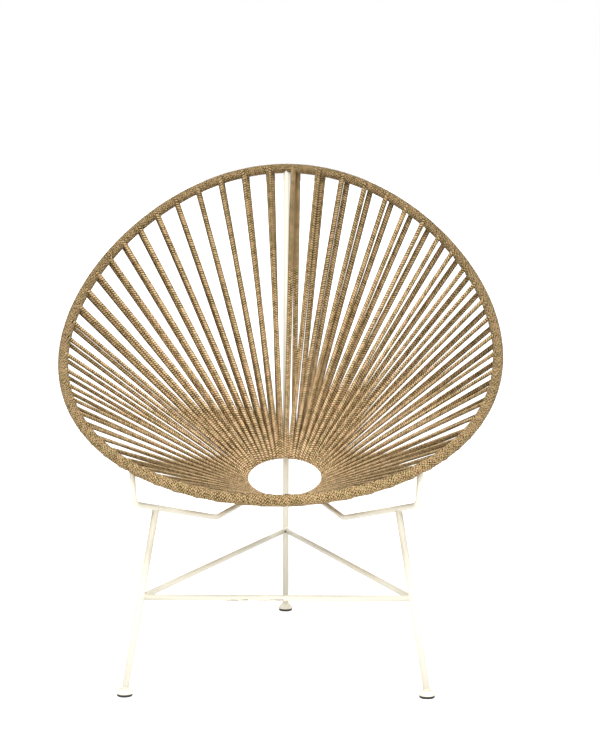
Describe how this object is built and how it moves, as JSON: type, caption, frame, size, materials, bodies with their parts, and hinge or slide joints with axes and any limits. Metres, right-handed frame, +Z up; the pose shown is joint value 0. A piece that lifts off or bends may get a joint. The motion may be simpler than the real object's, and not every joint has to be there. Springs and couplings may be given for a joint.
{
  "type": "acapulco chair",
  "caption": "Low patio chair: a round, egg-shaped bucket seat of twine strung from a wrapped steel hoop to a small ring, on three splayed steel legs.",
  "frame": {"origin": "on the floor, in the middle of the part's outline", "axes": "+Z up, the front of the seat faces -Y, +X to the right as seen from the front"},
  "size_m": [0.798, 0.7796, 0.8822],
  "materials": {
    "frame_paint": "cream powder coat, satin",
    "seat_cord": "matt braided twine, straw brown",
    "glide": "black moulded plastic, matt"
  },
  "bodies": {
    "root": {"outer_hoop": "frame_paint", "rear_leg": "frame_paint", "inner_ring": "frame_paint", "bracket_right": "frame_paint", "bracket_left": "frame_paint", "front_leg_right": "frame_paint", "front_leg_left": "frame_paint", "front_stretcher": "frame_paint", "side_stretcher_right": "frame_paint", "side_stretcher_left": "frame_paint", "foot_cup_front_right": "frame_paint", "glide_front_right": "glide", "foot_cup_front_left": "frame_paint", "glide_front_left": "glide", "foot_cup_rear": "frame_paint", "glide_rear": "glide", "seat_cord_01": "seat_cord", "seat_cord_02": "seat_cord", "seat_cord_03": "seat_cord", "seat_cord_04": "seat_cord", "seat_cord_05": "seat_cord", "seat_cord_06": "seat_cord", "seat_cord_07": "seat_cord", "seat_cord_08": "seat_cord", "seat_cord_09": "seat_cord", "seat_cord_10": "seat_cord", "seat_cord_11": "seat_cord", "seat_cord_12": "seat_cord", "seat_cord_13": "seat_cord", "seat_cord_14": "seat_cord", "seat_cord_15": "seat_cord", "seat_cord_16": "seat_cord", "seat_cord_17": "seat_cord", "seat_cord_18": "seat_cord", "seat_cord_19": "seat_cord", "seat_cord_20": "seat_cord"}
  },
  "joints": []
}
